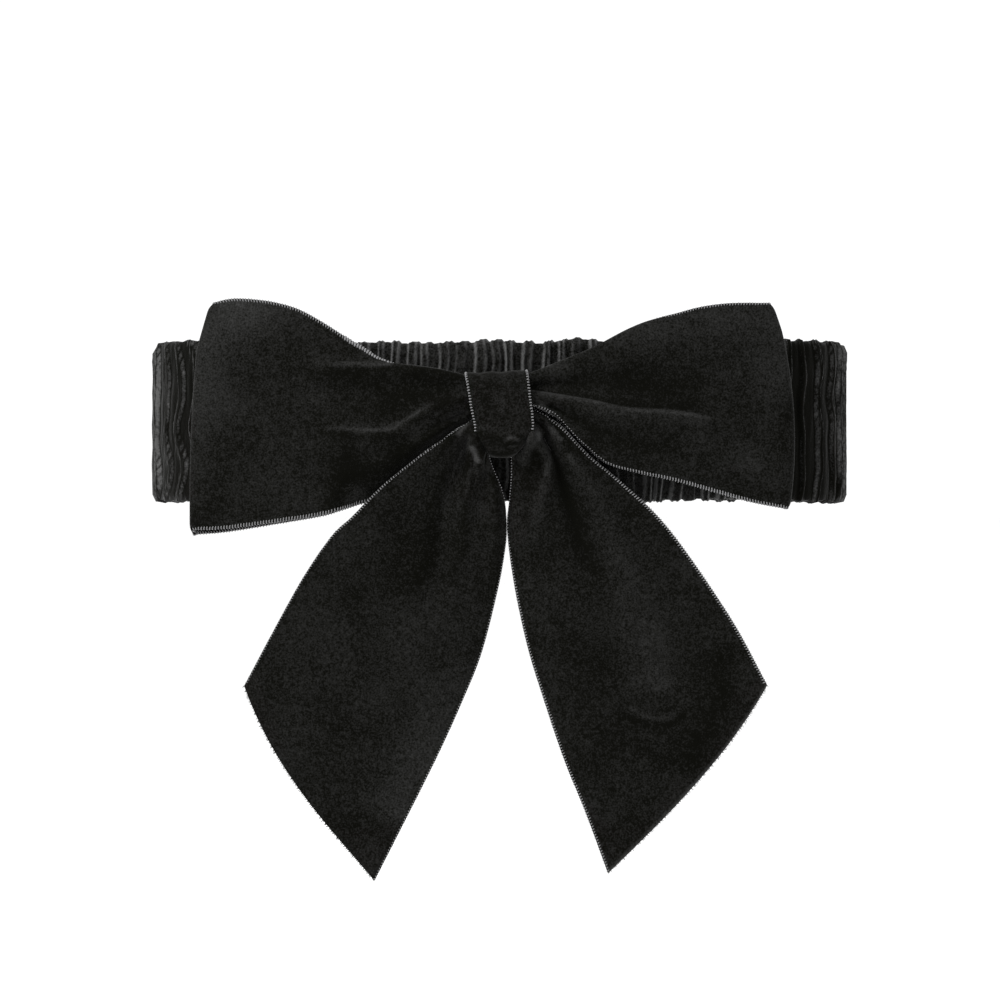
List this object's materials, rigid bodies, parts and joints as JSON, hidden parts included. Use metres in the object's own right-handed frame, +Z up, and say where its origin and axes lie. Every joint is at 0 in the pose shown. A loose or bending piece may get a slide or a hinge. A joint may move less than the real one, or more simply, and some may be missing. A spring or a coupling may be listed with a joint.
{
  "type": "hair bow headband",
  "caption": "Velvet ribbon bow with loops and slanted hanging tails, gathered by a narrow wrap and sewn to a wide ruched elastic headband.",
  "frame": {"origin": "centre of the band's inner face, at mid-height, straight behind the bow's centre, where the band rests on the head", "axes": "+X to the right seen from in front of the bow, +Y from the bow towards the head, +Z up; the tails hang towards -Z"},
  "size_m": [0.176, 0.123, 0.1377],
  "materials": {
    "ribbon_velvet": "matte",
    "band_velvet": "matte",
    "elastic": "matte",
    "thread": "satin",
    "selvedge": "satin"
  },
  "bodies": {
    "bow_centre": {"centre_wrap": "ribbon_velvet", "loop_gather": "ribbon_velvet", "tail_gather": "ribbon_velvet", "cinch_thread": "thread", "wrap_stitches": "thread", "tack_stitches": "thread", "casing_front": "band_velvet", "elastic_front": "elastic", "casing_seam_front": "thread"},
    "band_back": {"casing_back": "band_velvet", "elastic_back": "elastic", "casing_seam_back": "thread", "elastic_join_stitches": "thread", "casing_closing_stitches": "thread"},
    "left_loop": {"loop_left": "ribbon_velvet"},
    "right_loop": {"loop_right": "ribbon_velvet"},
    "left_tail": {"tail_left": "ribbon_velvet"},
    "right_tail": {"tail_right": "ribbon_velvet"}
  },
  "joints": [
    {"name": "band_stretch", "type": "slide", "parent": "bow_centre", "child": "band_back", "axis": [0, 1, 0], "range_m": [0, 0.06], "stiffness_N_per_m": 140},
    {"name": "left_loop_lift", "type": "hinge", "parent": "bow_centre", "child": "left_loop", "pos_m": [-0.0095, -0.0096, 0.0055], "axis": [0, 0.766, 0.6428], "range_deg": [0, 24], "stiffness_Nm_per_rad": 0.02},
    {"name": "right_loop_lift", "type": "hinge", "parent": "bow_centre", "child": "right_loop", "pos_m": [0.0095, -0.0096, 0.0055], "axis": [0, -0.766, -0.6428], "range_deg": [0, 24], "stiffness_Nm_per_rad": 0.02},
    {"name": "left_tail_lift", "type": "hinge", "parent": "bow_centre", "child": "left_tail", "pos_m": [-0.00393, -0.0096, -0.00777], "axis": [-1, 0, 0], "range_deg": [0, 45], "stiffness_Nm_per_rad": 0.003},
    {"name": "right_tail_lift", "type": "hinge", "parent": "bow_centre", "child": "right_tail", "pos_m": [0.00536, -0.0096, -0.00768], "axis": [-1, 0, 0], "range_deg": [0, 45], "stiffness_Nm_per_rad": 0.003}
  ]
}
